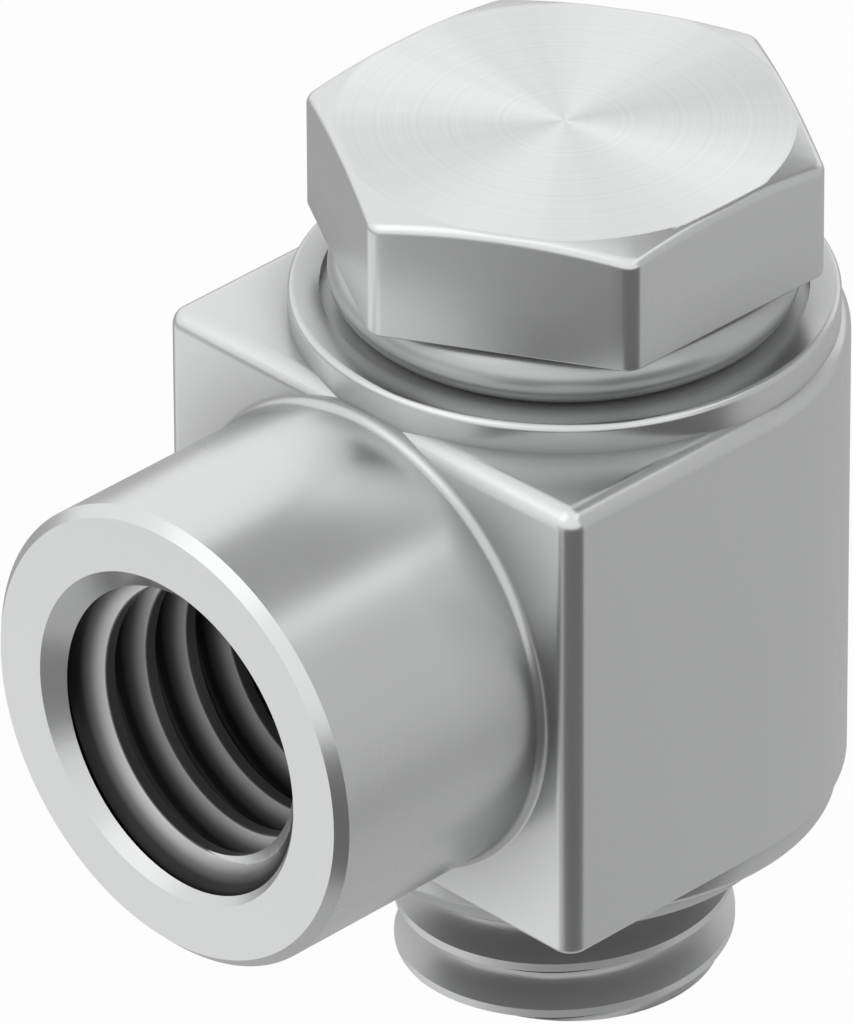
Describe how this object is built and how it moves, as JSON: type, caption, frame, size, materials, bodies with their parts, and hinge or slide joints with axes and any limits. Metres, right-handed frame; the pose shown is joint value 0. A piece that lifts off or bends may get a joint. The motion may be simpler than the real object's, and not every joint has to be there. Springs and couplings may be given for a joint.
{
  "type": "angled threaded fitting",
  "caption": "Swivel elbow with a hollow hexagon-head bolt through a banjo body, a screw thread below and a female-threaded side port.",
  "frame": {"origin": "on the bolt axis, in the plane of the body's lower collar that seats on the device", "axes": "+Z along the bolt towards its hexagon head, -Y out of the side port, +X to the body's right"},
  "size_m": [0.0082, 0.0121, 0.0141],
  "materials": {
    "body": "satin",
    "bolt": "satin, with a turned top face",
    "seal_ring": "satin"
  },
  "bodies": {
    "bolt": {"hollow_bolt": "bolt", "upper_seal_ring": "seal_ring", "lower_seal_ring": "seal_ring"},
    "banjo": {"banjo_body": "body"}
  },
  "joints": [
    {"name": "banjo_swivel", "type": "hinge", "parent": "bolt", "child": "banjo", "pos_m": [0, 0, 0.00415], "axis": [0, 0, 1], "continuous": true}
  ]
}
